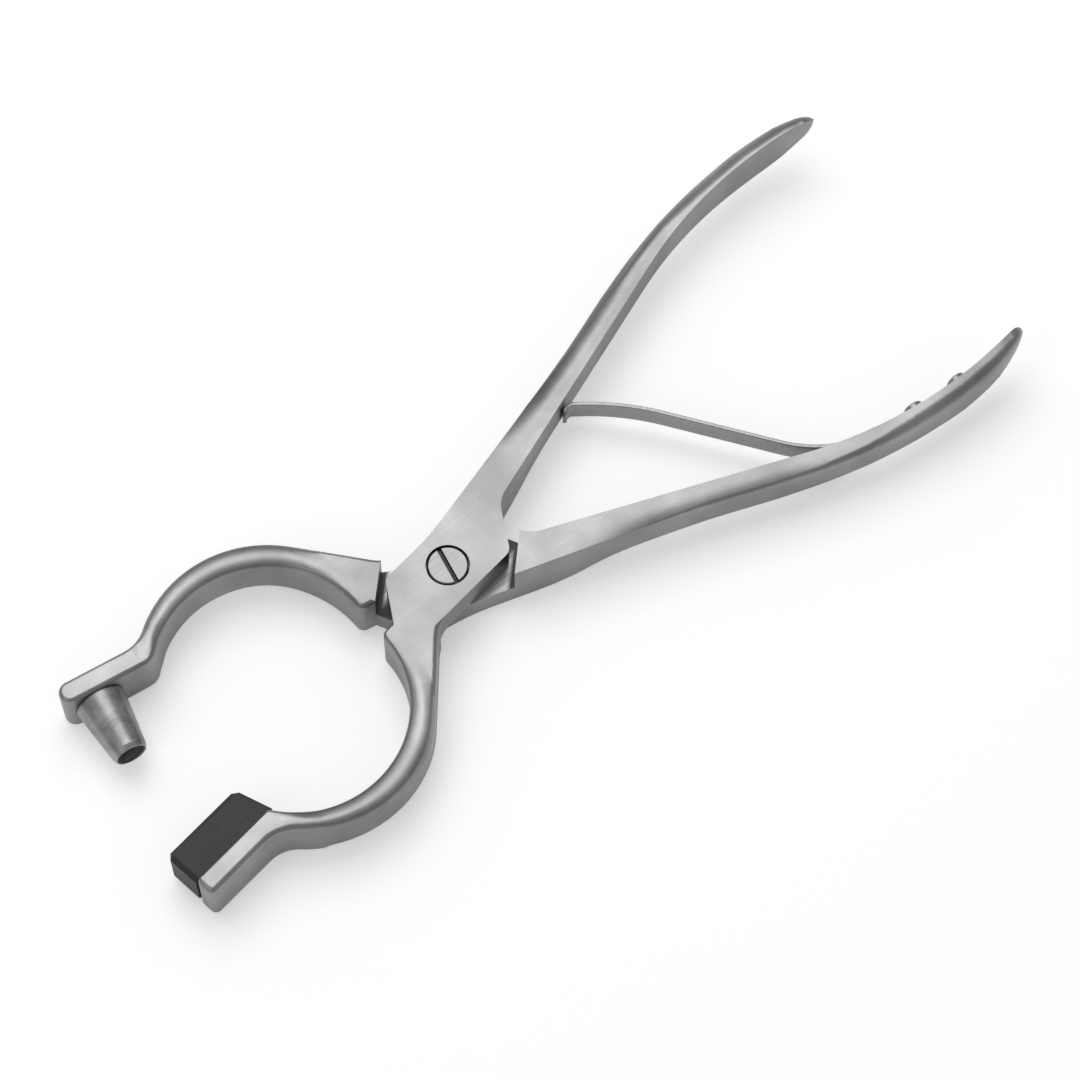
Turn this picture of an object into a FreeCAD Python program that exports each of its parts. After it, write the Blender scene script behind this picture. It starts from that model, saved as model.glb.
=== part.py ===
import FreeCAD, Part
import math
import os
import Sketcher

# Nose ring pliers for cattle, drawn with the jaws open as they lie at rest.
# Two forged levers cross in a screwed lap joint. One carries a hollow punch, the other a pad.
# The origin is on the pivot axis at the underside of the joint.
# X runs along the closed tool towards the handles, Z is up.
# Each lever is drawn in the closed position, where the two are mirror images about X.

doc = FreeCAD.newDocument("nose_ring_pliers")

# Driving sizes in millimetres and degrees
SIZES = [
    ("jaw_angle", 17.0, "angle between rest and the closed jaws"),
    ("joint_depth", 14.5, "full depth of both levers at the joint"),
    ("upper_plate", 7.8, "thickness of the lap plate that lies on top"),
    ("plate_half_width", 8.6, "half width of a lap plate"),
    ("lap_reach", 16.3, "pivot to the step at either end of the lap"),
    ("lap_angle", 36.5, "slant of the steps"),
    ("lap_gap", 0.8, "gap between a plate end and the step, jaws closed"),
    ("plate_corner", 3.0, "corner radius of the plate end"),
    ("crotch_radius", 8.0, "fillet between plate end and handle"),
    ("flank_radius", 60.0, "blend from plate flank to handle"),
    ("handle_angle", 8.6, "slope of the outer edge beyond the joint"),
    ("rise_angle", 13.2, "steepest slope of the outer edge"),
    ("sweep_radius", 600.0, "hollow part of the outer edge"),
    ("grip_radius", 170.0, "full part of the outer edge"),
    ("heel_radius", 100.0, "outer edge from its crown to the tip"),
    ("crown_length", 36.8, "tip to the crown of the handle"),
    ("crown_y", 26.8, "height of the crown above the axis"),
    ("palm_crown", 21.7, "height of the inner edge at the crown"),
    ("palm_radius", 115.0, "bow of the inner edge"),
    ("palm_angle", 12.6, "slope of the straight part of the inner edge"),
    ("handle_reach", 155.6, "pivot to the handle tip"),
    ("neck_x", 46.0, "where the handle has its own depth"),
    ("handle_floor", 5.4, "underside of the handle above that of the joint"),
    ("heel_length", 21.6, "tip to the deepest place of the grip"),
    ("heel_floor", 4.2, "underside of the grip there"),
    ("grip_rise", 3.6, "rise of the top edge along the grip"),
    ("neck_round", 0.2, "rounding of the outer side at the neck"),
    ("handle_round", 1.4, "rounding of the outer side before the grip"),
    ("grip_round", 3.8, "rounding of the outer side of the grip"),
    ("sweep_length", 9.6, "tip to the start of its upward sweep"),
    ("sweep_floor", 5.4, "underside of the grip there"),
    ("sweep_round", 3.5, "rounding of the outer side there"),
    ("bend_length", 3.8, "tip to the last bend of its outline"),
    ("bend_floor", 9.4, "underside of the grip there"),
    ("bend_thickness", 3.7, "thickness of the grip there"),
    ("bend_round", 2.7, "rounding of the outer side there"),
    ("tip_floor", 13.2, "underside of the tip"),
    ("tip_drop", 1.6, "top edge at the tip"),
    ("tip_thickness", 2.2, "thickness of the tip"),
    ("tip_round", 1.0, "rounding of the tip"),
    ("palm_stock", 1.0, "stock that the flat palm side is cut from"),
    ("shoulder_x", 19.0, "where the joint depth ends"),
    ("bow_centre_x", 50.0, "pivot to the centre of the outer arc of the bow"),
    ("bow_inner_x", 50.9, "pivot to the centre of the inner arc"),
    ("bow_inner_y", 1.5, "centre of the inner arc from the axis"),
    ("bow_outer_y", 1.9, "centre of the outer arc from the axis"),
    ("bow_wall", 3.0, "inner arc inside the outer one"),
    ("bow_outer_radius", 29.8, "outer arc of the bow"),
    ("bow_floor", 3.2, "underside of the bow above that of the joint"),
    ("bow_drop", 0.5, "top of the bow below that of the joint"),
    ("bow_root_angle", 41.0, "slope of the straight root of the bow"),
    ("bow_root_radius", 10.0, "blend from the root to the plate flank"),
    ("root_corner", 2.0, "corner where the bow leaves the step"),
    ("root_corner_y", 0.6, "that corner from the axis"),
    ("bow_thin_x", 43.0, "where the bow has its own depth"),
    ("bar_ramp_end", 65.5, "where the ramp up to the jaw bar starts"),
    ("bar_ramp_start", 71.5, "where the jaw bar has its full depth"),
    ("bar_face", 14.2, "inner face of the punch bar from the axis"),
    ("bar_thickness", 5.7, "punch bar"),
    ("bar_inset", 1.9, "end of the pad to the end of the punch bar"),
    ("bar_corner", 4.0, "corner between bow and punch bar"),
    ("bar_blend", 9.0, "hollow blend behind the punch bar"),
    ("closing_line", 2.1, "face of the pad from the axis"),
    ("pad_thickness", 9.6, "pad from face to back"),
    ("pad_reach", 98.3, "pivot to the outer end of the pad"),
    ("pad_length", 22.6, "length of the pad face"),
    ("pad_slant", 2.6, "run of the slanted inner end of the pad"),
    ("pad_depth", 12.6, "pad from top to underside"),
    ("pad_bevel", 1.2, "bevel on the pad edges"),
    ("holder_thickness", 5.4, "steel behind the pad"),
    ("holder_blend", 9.0, "hollow blend behind the holder"),
    ("holder_corner", 1.6, "corner radius of the holder end"),
    ("edge_round", 1.5, "soft outer edges of the anvil bow"),
    ("inner_round", 0.8, "soft inner edges of the anvil bow"),
    ("bar_round", 1.2, "soft edges of the punch bow and bar"),
    ("edge_break", 0.4, "broken sharp edges"),
    ("screw_head", 10.1, "pivot screw head"),
    ("screw_head_height", 2.6, "pivot screw head"),
    ("screw_shank", 7.0, "pivot screw shank"),
    ("screw_thread", 6.0, "pivot screw thread"),
    ("screw_slot", 1.2, "slot width"),
    ("screw_slot_depth", 1.3, "slot depth"),
    ("screw_slot_angle", -101.6, "direction of the slot"),
    ("running_fit", 0.06, "radial play of the upper lever on the screw"),
    ("lap_play", 0.05, "play between the two lap plates and under the head"),
    ("head_gap", 0.35, "gap around the screw head"),
    ("punch_base", 12.7, "punch at its seat"),
    ("punch_mouth", 7.9, "punch at its cutting edge"),
    ("punch_shoulder", 8.9, "punch behind the ground chamfer"),
    ("punch_inset", 10.4, "end of the pad to the punch axis"),
    ("punch_stop", 0.3, "play left between punch and pad, jaws closed"),
    ("punch_spigot", 10.4, "spigot of the punch in the bar"),
    ("punch_bore", 7.2, "bore of the punch, right through"),
    ("punch_land", 1.2, "ground chamfer length at the cutting edge"),
    ("spring_thickness", 1.0, "leaf of the spring"),
    ("spring_width", 6.2, "leaf of the spring"),
    ("spring_level", 9.8, "middle of the leaf above the underside of the joint"),
    ("spring_tail_angle", 11.2, "angle of the tail along the grip, past the crown"),
    ("spring_lift_angle", 5.0, "angle before the crown where the leaf leaves the grip"),
    ("spring_bend", 32.0, "bend where the leaf leaves the grip"),
    ("spring_steep_angle", 46.3, "steepest slope of the leaf"),
    ("spring_back", 68.0, "gentle bend back towards the other handle"),
    ("spring_end_angle", 27.0, "slope of the leaf where the curl begins"),
    ("spring_curl", 2.0, "curl of the free end"),
    ("spring_curl_angle", 60.0, "turn of the curl beyond the other handle"),
    ("spring_play", 0.15, "curl to the other handle"),
    ("near_screw_angle", 1.6, "first spring screw, angle past the crown"),
    ("far_screw_angle", 8.4, "second spring screw, angle past the crown"),
    ("spring_screw_shank", 3.0, "spring screw shank"),
    ("spring_screw_head", 5.4, "spring screw head"),
    ("spring_screw_height", 1.5, "spring screw head height"),
    ("spring_screw_bite", 3.2, "spring screw depth in the handle"),
]

sheet = doc.addObject("Spreadsheet::Sheet", "dims")
for row, (alias, value, note) in enumerate(SIZES, start=1):
    sheet.set("A%d" % row, alias)
    sheet.set("B%d" % row, str(value))
    sheet.set("C%d" % row, note)
    sheet.setAlias("B%d" % row, alias)
doc.recompute()


class Size:
    """A length or an angle: its value and the formula that yields it."""

    def __init__(self, value, text):
        self.value = value
        self.text = text

    def __add__(self, other):
        other = as_size(other)
        return Size(self.value + other.value, "(%s + %s)" % (self.text, other.text))

    def __radd__(self, other):
        return as_size(other) + self

    def __sub__(self, other):
        other = as_size(other)
        return Size(self.value - other.value, "(%s - %s)" % (self.text, other.text))

    def __rsub__(self, other):
        return as_size(other) - self

    def __mul__(self, other):
        other = as_size(other)
        return Size(self.value * other.value, "(%s * %s)" % (self.text, other.text))

    def __rmul__(self, other):
        return as_size(other) * self

    def __truediv__(self, other):
        other = as_size(other)
        return Size(self.value / other.value, "(%s / %s)" % (self.text, other.text))

    def __neg__(self):
        return Size(-self.value, "(-1 * %s)" % self.text)


def as_size(value):
    if isinstance(value, Size):
        return value
    return Size(float(value), repr(float(value)))


def sin(angle):
    return Size(math.sin(math.radians(angle.value)), "sin(%s)" % angle.text)


def cos(angle):
    return Size(math.cos(math.radians(angle.value)), "cos(%s)" % angle.text)


def tan(angle):
    return Size(math.tan(math.radians(angle.value)), "tan(%s)" % angle.text)


def root(number):
    return Size(math.sqrt(number.value), "sqrt(%s)" % number.text)


def dim(alias):
    """The size in the sheet that has this alias."""
    return Size(float(getattr(sheet, alias)), "dims.%s" % alias)


def origin_plane(body, role):
    for feature in body.Origin.OriginFeatures:
        if feature.Role == role:
            return feature


def new_sketch(body, name, role, lift=None):
    """A sketch on an origin plane, or lifted off it."""
    sketch = body.newObject("Sketcher::SketchObject", name)
    sketch.AttachmentSupport = [(origin_plane(body, role), "")]
    sketch.MapMode = "FlatFace"
    if lift is not None:
        sketch.AttachmentOffset = FreeCAD.Placement(
            FreeCAD.Vector(0, 0, lift.value), FreeCAD.Rotation(FreeCAD.Vector(0, 0, 1), 0)
        )
        sketch.setExpression("AttachmentOffset.Base.z", lift.text)
    return sketch


def fix_point(sketch, geo, end, point):
    """Ties one end of a sketch edge to the sheet by its distances from the sketch origin."""
    x, y = point
    number = sketch.addConstraint(Sketcher.Constraint("DistanceX", -1, 1, geo, end, x.value))
    sketch.setExpression("Constraints[%d]" % number, x.text)
    number = sketch.addConstraint(Sketcher.Constraint("DistanceY", -1, 1, geo, end, y.value))
    sketch.setExpression("Constraints[%d]" % number, y.text)


def add_arc(sketch, start, end, radius, turn):
    """An arc under half a circle that turns left (1) or right (-1) from start to end."""
    ax, ay = start[0].value, start[1].value
    bx, by = end[0].value, end[1].value
    chord = math.hypot(bx - ax, by - ay)
    rise = math.sqrt(max(radius.value ** 2 - chord ** 2 / 4, 0.0))
    cx = (ax + bx) / 2 - turn * rise * (by - ay) / chord
    cy = (ay + by) / 2 + turn * rise * (bx - ax) / chord
    first = math.atan2(ay - cy, ax - cx)
    last = math.atan2(by - cy, bx - cx)
    if turn < 0:
        first, last = last, first
    if last < first:
        last += 2 * math.pi
    circle = Part.Circle(FreeCAD.Vector(cx, cy, 0), FreeCAD.Vector(0, 0, 1), radius.value)
    geo = sketch.addGeometry(Part.ArcOfCircle(circle, first, last), False)
    number = sketch.addConstraint(Sketcher.Constraint("Radius", geo, radius.value))
    sketch.setExpression("Constraints[%d]" % number, radius.text)
    if turn > 0:
        return geo, 1, 2
    return geo, 2, 1


def draw_loop(sketch, path):
    """A closed loop of lines and arcs.

    Each item of the path is a corner and the edge that leaves it: None for a line,
    or a radius and a turn for an arc.
    """
    ends = []
    for index, (point, bend) in enumerate(path):
        following = path[(index + 1) % len(path)][0]
        if bend is None:
            line = Part.LineSegment(
                FreeCAD.Vector(point[0].value, point[1].value, 0),
                FreeCAD.Vector(following[0].value, following[1].value, 0),
            )
            geo = sketch.addGeometry(line, False)
            ends.append((geo, 1, 2))
        else:
            ends.append(add_arc(sketch, point, following, bend[0], bend[1]))
    for index, (geo, first, last) in enumerate(ends):
        other, other_first, _ = ends[(index + 1) % len(ends)]
        sketch.addConstraint(Sketcher.Constraint("Coincident", geo, last, other, other_first))
        fix_point(sketch, geo, first, path[index][0])


def draw_circle(sketch, radius, centre=None):
    """A circle, on the sketch origin unless a centre is given."""
    if centre is None:
        centre = (zero, zero)
    circle = Part.Circle(
        FreeCAD.Vector(centre[0].value, centre[1].value, 0), FreeCAD.Vector(0, 0, 1), radius.value
    )
    geo = sketch.addGeometry(circle, False)
    fix_point(sketch, geo, 3, centre)
    number = sketch.addConstraint(Sketcher.Constraint("Radius", geo, radius.value))
    sketch.setExpression("Constraints[%d]" % number, radius.text)


def mirrored(path, side, across=1):
    """The path itself, or for side -1 its mirror image across one of its two directions."""
    turned = []
    for point, bend in path:
        if bend is not None:
            bend = (bend[0], bend[1] * side)
        point = tuple(part * side if index == across else part for index, part in enumerate(point))
        turned.append((point, bend))
    return turned


zero = as_size(0)
right_angle = as_size(90)
half_opening = dim("jaw_angle") / 2
depth = dim("joint_depth")
middle = depth / 2
lap_level = depth - dim("upper_plate")
lap_sin = sin(dim("lap_angle"))
lap_cos = cos(dim("lap_angle"))
plate_end = dim("lap_reach") - dim("lap_gap")
half_width = dim("plate_half_width")
bow_x = -dim("bow_centre_x")
hollow_x = -dim("bow_inner_x")
hollow_radius = dim("bow_outer_radius") - dim("bow_wall")
punch_place = dim("pad_reach") - dim("punch_inset")
holder_face = dim("closing_line") + dim("pad_thickness")
step_y = dim("root_corner_y")
step_x = (plate_end + lap_sin * step_y) / lap_cos
corner_x = (plate_end - lap_sin * half_width) / lap_cos
corner_run = dim("plate_corner") * tan((right_angle - dim("lap_angle")) / 2)
end_x = corner_x + corner_run * lap_sin
end_y = half_width - corner_run * lap_cos

# Slopes and meeting places of the handle's two edges
slant = dim("palm_angle")
rise = dim("rise_angle")
low = dim("handle_angle")
crown_x = dim("handle_reach") - dim("crown_length")
palm_x = crown_x - dim("palm_radius") * sin(slant)
palm_y = dim("palm_crown") - dim("palm_radius") * (1 - cos(slant))
full_x = crown_x - dim("grip_radius") * sin(rise)
full_y = dim("crown_y") - dim("grip_radius") * (1 - cos(rise))


def palm_at(x):
    """The palm edge of the closed tool: a straight stretch, then an arc over the crown."""
    if x.value < palm_x.value:
        return palm_y + (x - palm_x) * tan(slant)
    beyond = x - crown_x
    radius = dim("palm_radius")
    return dim("palm_crown") - radius + root(radius * radius - beyond * beyond)


def outer_at(x):
    """The outer edge: a hollow arc, a full arc up to the crown and the heel beyond it."""
    if x.value < full_x.value:
        beyond = x - full_x + dim("sweep_radius") * sin(rise)
        reach = dim("sweep_radius") * dim("sweep_radius") - beyond * beyond
        return full_y + dim("sweep_radius") * cos(rise) - root(reach)
    beyond = x - crown_x
    radius = dim("grip_radius") if x.value < crown_x.value else dim("heel_radius")
    return dim("crown_y") - radius + root(radius * radius - beyond * beyond)


def handle_path():
    """Plate end, crotch, palm edge to the neck, outer edge, and the plate up to the bow."""
    turn = right_angle - dim("lap_angle")
    offset = palm_y - palm_x * tan(slant)
    crotch_x = (plate_end + lap_sin * offset) / (lap_cos - lap_sin * tan(slant))
    crotch_y = offset + crotch_x * tan(slant)
    crotch = dim("crotch_radius") * tan((turn - slant) / 2)
    neck = dim("neck_x")
    low_x = full_x - dim("sweep_radius") * (sin(rise) - sin(low))
    low_y = full_y - dim("sweep_radius") * (cos(low) - cos(rise))
    flank_x = low_x - (low_y - half_width) / tan(low)
    flank = dim("flank_radius") * tan(low / 2)
    return [
        ((corner_x - corner_run, -half_width), (dim("plate_corner"), 1)),
        ((end_x, -end_y), None),
        ((crotch_x - crotch * lap_sin, crotch_y - crotch * lap_cos), (dim("crotch_radius"), -1)),
        ((crotch_x + crotch * cos(slant), crotch_y + crotch * sin(slant)), None),
        ((neck, palm_at(neck)), None),
        ((neck, outer_at(neck)), (dim("sweep_radius"), -1)),
        ((low_x, low_y), None),
        ((flank_x + flank * cos(low), half_width + flank * sin(low)), (dim("flank_radius"), -1)),
        ((flank_x - flank, half_width), None),
        ((corner_run - corner_x, half_width), (dim("plate_corner"), 1)),
        ((-end_x, end_y), None),
        ((-step_x, -step_y), None),
        ((-step_x, -half_width), None),
    ]


def root_path():
    """The end of the plate where the inner arc of the bow begins."""
    reach = hollow_radius + dim("root_corner")
    drop = step_y + dim("root_corner") + dim("bow_inner_y")
    along = root(reach * reach - drop * drop)
    share = hollow_radius / reach
    return [
        ((-end_x, end_y), None),
        ((-step_x, -step_y), None),
        ((hollow_x + along, -step_y), (dim("root_corner"), 1)),
        ((hollow_x + along * share, dim("bow_inner_y") - drop * share), (hollow_radius, -1)),
    ]


def inner_corner(face, radius):
    """Centre of the corner between the inner arc and a jaw face, and the arc's end point."""
    reach = hollow_radius + radius
    drop = face + radius + dim("bow_inner_y")
    along = root(reach * reach - drop * drop)
    share = hollow_radius / reach
    return hollow_x - along, (hollow_x - along * share, dim("bow_inner_y") - drop * share)


def outer_blend(face, radius):
    """Centre of the hollow between the outer arc and the back of a jaw, and the arc's start."""
    reach = dim("bow_outer_radius") + radius
    drop = face + radius - dim("bow_outer_y")
    along = root(reach * reach - drop * drop)
    share = dim("bow_outer_radius") / reach
    return bow_x - along, (bow_x - along * share, -drop * share - dim("bow_outer_y"))


def punch_bar_path():
    """The bar that carries the punch, with a full round end."""
    face = dim("bar_face")
    back = face + dim("bar_thickness")
    round_end = dim("bar_thickness") / 2
    end_x = dim("bar_inset") - dim("pad_reach")
    near_x, inner = inner_corner(face, dim("bar_corner"))
    far_x, outer = outer_blend(back, dim("bar_blend"))
    return [
        (inner, (dim("bar_corner"), 1)),
        ((near_x, -face), None),
        ((end_x + round_end, -face), (round_end, 1)),
        ((end_x, -face - round_end), (round_end, 1)),
        ((end_x + round_end, -back), None),
        ((far_x, -back), (dim("bar_blend"), -1)),
        (outer, (dim("bow_outer_radius"), 1)),
    ]


def holder_path():
    """The flat holder behind the pad."""
    back = holder_face + dim("holder_thickness")
    corner = dim("holder_corner")
    end_x = -dim("pad_reach")
    near_x, inner = inner_corner(holder_face, corner)
    far_x, outer = outer_blend(back, dim("holder_blend"))
    return [
        (inner, (corner, 1)),
        ((near_x, -holder_face), None),
        ((end_x, -holder_face), None),
        ((end_x, corner - back), (corner, 1)),
        ((end_x + corner, -back), None),
        ((far_x, -back), (dim("holder_blend"), -1)),
        (outer, (dim("bow_outer_radius"), 1)),
    ]


def bow_root_path():
    """The straight root of the bow and its blend into the plate flank."""
    slope = dim("bow_root_angle")
    leave_x = bow_x + dim("bow_outer_radius") * sin(slope)
    leave_y = -dim("bow_outer_y") - dim("bow_outer_radius") * cos(slope)
    meet_x = leave_x - (half_width + leave_y) / tan(slope)
    run = dim("bow_root_radius") * tan(slope / 2)
    return [
        ((leave_x, leave_y), None),
        ((meet_x - run * cos(slope), -half_width - run * sin(slope)), (dim("bow_root_radius"), -1)),
        ((meet_x + run, -half_width), None),
    ]


def ramp(start, end, drop):
    """Radius of the two equal arcs of a soft ramp."""
    length = end - start
    return (length * length + drop * drop) / (4 * drop)


def side_path():
    """Side view of the forging: full depth at joint and jaw, slimmer bow and neck."""
    bow_top = depth - dim("bow_drop")
    joint_end = dim("shoulder_x")
    slim = dim("bow_thin_x")
    bar_low = dim("bar_ramp_end")
    bar_high = dim("bar_ramp_start")
    neck = dim("neck_x")
    end_x = -dim("pad_reach") - dim("plate_corner")
    drop = dim("bow_drop")
    floor = dim("bow_floor")
    under = dim("handle_floor")
    return [
        ((end_x, depth), None),
        ((-bar_high, depth), (ramp(bar_low, bar_high, drop), -1)),
        ((-(bar_low + bar_high) / 2, depth - drop / 2), (ramp(bar_low, bar_high, drop), 1)),
        ((-bar_low, bow_top), None),
        ((-slim, bow_top), (ramp(joint_end, slim, drop), 1)),
        ((-(joint_end + slim) / 2, depth - drop / 2), (ramp(joint_end, slim, drop), -1)),
        ((-joint_end, depth), None),
        ((neck + dim("plate_corner"), depth), None),
        ((neck + dim("plate_corner"), under), None),
        ((neck, under), (ramp(joint_end, neck, under), 1)),
        (((joint_end + neck) / 2, under / 2), (ramp(joint_end, neck, under), -1)),
        ((joint_end, zero), None),
        ((-joint_end, zero), (ramp(joint_end, slim, floor), -1)),
        ((-(joint_end + slim) / 2, floor / 2), (ramp(joint_end, slim, floor), 1)),
        ((-slim, floor), None),
        ((-bar_low, floor), (ramp(bar_low, bar_high, floor), 1)),
        ((-(bar_low + bar_high) / 2, floor / 2), (ramp(bar_low, bar_high, floor), -1)),
        ((-bar_high, zero), None),
        ((end_x, zero), None),
    ]


def neck_cut():
    """Side view of what is cut off below the handle, from the joint to past the neck."""
    start = dim("shoulder_x")
    neck = dim("neck_x")
    under = dim("handle_floor")
    past = neck + dim("plate_corner")
    return [
        ((start, zero), (ramp(start, neck, under), 1)),
        (((start + neck) / 2, under / 2), (ramp(start, neck, under), -1)),
        ((neck, under), None),
        ((past, under), None),
        ((past, zero), None),
    ]


def grip_sections():
    """Upright sections of the grip: place, palm stock, outer edge, underside, top, rounding."""
    neck = dim("neck_x")
    reach = dim("handle_reach")
    heel = reach - dim("heel_length")
    sweep = reach - dim("sweep_length")
    bend = reach - dim("bend_length")
    under = dim("handle_floor")
    start = dim("neck_round")
    slim = dim("handle_round")
    full = dim("grip_round")

    def top(x):
        return depth + dim("grip_rise") * (x - palm_x) / (reach - palm_x)

    def floor(x):
        return under - (under - dim("heel_floor")) * (x - palm_x) / (heel - palm_x)

    def slim_section(x, bend):
        return x, outer_at(x), under, depth, bend

    def grip_section(x, bend):
        return x, outer_at(x), floor(x), top(x), bend

    half_way = (palm_x + crown_x) / 2
    second_x = (neck * 3 + full_x) / 4
    third_x = (neck + full_x) / 2
    fourth_x = (neck + full_x * 3) / 4
    bend_y = palm_at(bend) + dim("bend_thickness")
    tip_y = palm_at(reach) + dim("tip_thickness")
    tip_top = top(reach) - dim("tip_drop")
    return [
        slim_section(neck, start),
        slim_section(second_x, (start + slim) / 2),
        slim_section(third_x, slim),
        slim_section(fourth_x, slim),
        slim_section(full_x, slim),
        slim_section(palm_x, (slim * 3 + full) / 4),
        grip_section(half_way, (slim + full) / 2),
        grip_section(crown_x, full),
        grip_section(heel, full),
        (sweep, outer_at(sweep), dim("sweep_floor"), top(sweep), dim("sweep_round")),
        (bend, bend_y, dim("bend_floor"), top(bend), dim("bend_round")),
        (reach, tip_y, dim("tip_floor"), tip_top, dim("tip_round")),
    ]


def new_body(label):
    body = doc.addObject("PartDesign::Body", label)
    body.Label = label
    return body


def add_pad(body, name, sketch, length):
    pad = body.newObject("PartDesign::Pad", name)
    pad.Profile = sketch
    pad.setExpression("Length", length.text)
    return pad


def add_pocket(body, name, sketch, length=None):
    """A pocket that goes down from its sketch, or both ways through all without a length."""
    pocket = body.newObject("PartDesign::Pocket", name)
    pocket.Profile = sketch
    if length is None:
        pocket.Type = "ThroughAll"
        pocket.SideType = "Symmetric"
    else:
        pocket.setExpression("Length", length.text)
    return pocket


def place(item, swing, base=None):
    """Turns an item with its lever to the rest position."""
    item.setExpression("Placement.Rotation.Angle", swing.text)
    if base is not None:
        x, y, z = base
        item.setExpression("Placement.Base.x", (x * cos(swing) - y * sin(swing)).text)
        item.setExpression("Placement.Base.y", (x * sin(swing) + y * cos(swing)).text)
        item.setExpression("Placement.Base.z", z.text)


def turned_profile(body, name, feature, points, origin, heading):
    """Revolves a profile about a line in the level plane of the sketch.

    Each point is a distance along the line and one from it. The line starts at the origin
    given and runs along the heading, an angle from the X axis of the body.
    """
    sketch = new_sketch(body, name + "_profile", "XY_Plane", origin[2])
    along_x, along_y = cos(heading), sin(heading)
    path = []
    for run, off in points:
        x = origin[0] + run * along_x - off * along_y
        y = origin[1] + run * along_y + off * along_x
        path.append(((x, y), None))
    draw_loop(sketch, path)
    first = (origin[0] + points[0][0] * along_x, origin[1] + points[0][0] * along_y)
    second = (origin[0] + points[-1][0] * along_x, origin[1] + points[-1][0] * along_y)
    axis = sketch.addGeometry(
        Part.LineSegment(
            FreeCAD.Vector(first[0].value, first[1].value, 0),
            FreeCAD.Vector(second[0].value, second[1].value, 0),
        ),
        True,
    )
    fix_point(sketch, axis, 1, first)
    fix_point(sketch, axis, 2, second)
    turned = body.newObject("PartDesign::" + feature, name)
    turned.Profile = sketch
    turned.ReferenceAxis = (sketch, ["Axis0"])
    return turned


def rectangle(start, stop, half):
    """Half section of a round hole or shank along its axis."""
    return [(start, zero), (start, half), (stop, half), (stop, zero)]


def edges_off_plane(shape, level):
    """Names of the edges that do not lie in the plane at this Y."""
    names = []
    for number, edge in enumerate(shape.Edges, start=1):
        box = edge.BoundBox
        if abs(box.YMin - level) > 0.01 or abs(box.YMax - level) > 0.01:
            names.append("Edge%d" % number)
    return names


def edges_on_arc(shape, upper, centre_x, centre_y, radius):
    """Names of the upper or lower edges whose middle lies on this upright round wall."""
    names = []
    for number, edge in enumerate(shape.Edges, start=1):
        middle = edge.valueAt((edge.FirstParameter + edge.LastParameter) / 2)
        away = math.hypot(middle.x - centre_x.value, middle.y - centre_y.value)
        if upper != (middle.z > shape.BoundBox.Center.z):
            continue
        if abs(away - radius.value) < 0.01 and edge.BoundBox.ZLength < edge.Length / 2:
            names.append("Edge%d" % number)
    return names


def soften(body, name, before, arc, radius):
    """Rounds the upper edges along an arc of the bow and all that run on, bevels the lower ones."""
    for kind, size, upper in (("Fillet", "Radius", True), ("Chamfer", "Size", False)):
        doc.recompute()
        softened = body.newObject("PartDesign::" + kind, name + "_" + kind.lower())
        softened.Base = (before, edges_on_arc(before.Shape, upper, *arc))
        softened.setExpression(size, radius.text if upper else (radius / 2).text)
        body.Tip = softened
        before = softened
    return before


def make_lever(label, side, jaw_path, soft_edges):
    """One lever; side 1 has its handle at +Y and side -1 is the mirrored form.

    Each soft edge is the centre and radius of an arc of the bow, and the fillet's own radius.
    """
    body = new_body(label)
    outline = new_sketch(body, label + "_bow_outline", "XY_Plane")
    draw_loop(outline, mirrored(root_path() + jaw_path + bow_root_path(), side))
    add_pad(body, label + "_bow", outline, depth)
    profile = new_sketch(body, label + "_bow_side_view", "XZ_Plane")
    draw_loop(profile, side_path())
    margin = dim("joint_depth")
    left = -dim("pad_reach") - margin
    right = dim("handle_reach") + margin
    frame = [(left, -margin), (right, -margin), (right, depth + margin), (left, depth + margin)]
    draw_loop(profile, [(corner, None) for corner in frame])
    latest = add_pocket(body, label + "_bow_slimming", profile)
    for number, (centre_x, centre_y, arc_radius, radius) in enumerate(soft_edges, start=1):
        arc = (centre_x, centre_y * side, arc_radius)
        latest = soften(body, label + "_edge_%d" % number, latest, arc, radius)
    outline = new_sketch(body, label + "_plate_outline", "XY_Plane")
    draw_loop(outline, mirrored(handle_path(), side))
    add_pad(body, label + "_plate", outline, depth)
    profile = new_sketch(body, label + "_neck_side_view", "XZ_Plane")
    draw_loop(profile, neck_cut())
    add_pocket(body, label + "_neck_slimming", profile)
    add_grip(body, side)
    return body


def add_grip(body, side):
    """The grip, a loft whose square section turns into a D, with its palm side cut flat."""
    loops = []
    for number, (x, outer, floor, top, bend) in enumerate(grip_sections(), start=1):
        inner = palm_at(x) - dim("palm_stock")
        loop = new_sketch(body, body.Name + "_grip_%d" % number, "YZ_Plane", x)
        path = [
            ((inner, floor), None),
            ((outer - bend, floor), (bend, 1)),
            ((outer, floor + bend), None),
            ((outer, top - bend), (bend, 1)),
            ((outer - bend, top), None),
            ((inner, top), None),
        ]
        draw_loop(loop, mirrored(path, side, across=0))
        loops.append(loop)
    grip = body.newObject("PartDesign::AdditiveLoft", body.Name + "_grip")
    grip.Profile = loops[0]
    grip.Sections = loops[1:]
    grip.Ruled = True
    palm = new_sketch(body, body.Name + "_palm", "XY_Plane")
    neck = dim("neck_x")
    reach = dim("handle_reach")
    stock = dim("palm_stock")
    below = palm_at(neck) - stock - stock
    draw_loop(
        palm,
        mirrored(
            [
                ((neck, palm_at(neck)), None),
                ((palm_x, palm_y), (dim("palm_radius"), -1)),
                ((reach, palm_at(reach)), None),
                ((reach + stock, palm_at(reach)), None),
                ((reach + stock, below), None),
                ((neck, below), None),
            ],
            side,
        ),
    )
    add_pocket(body, body.Name + "_palm_cut", palm)


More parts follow.
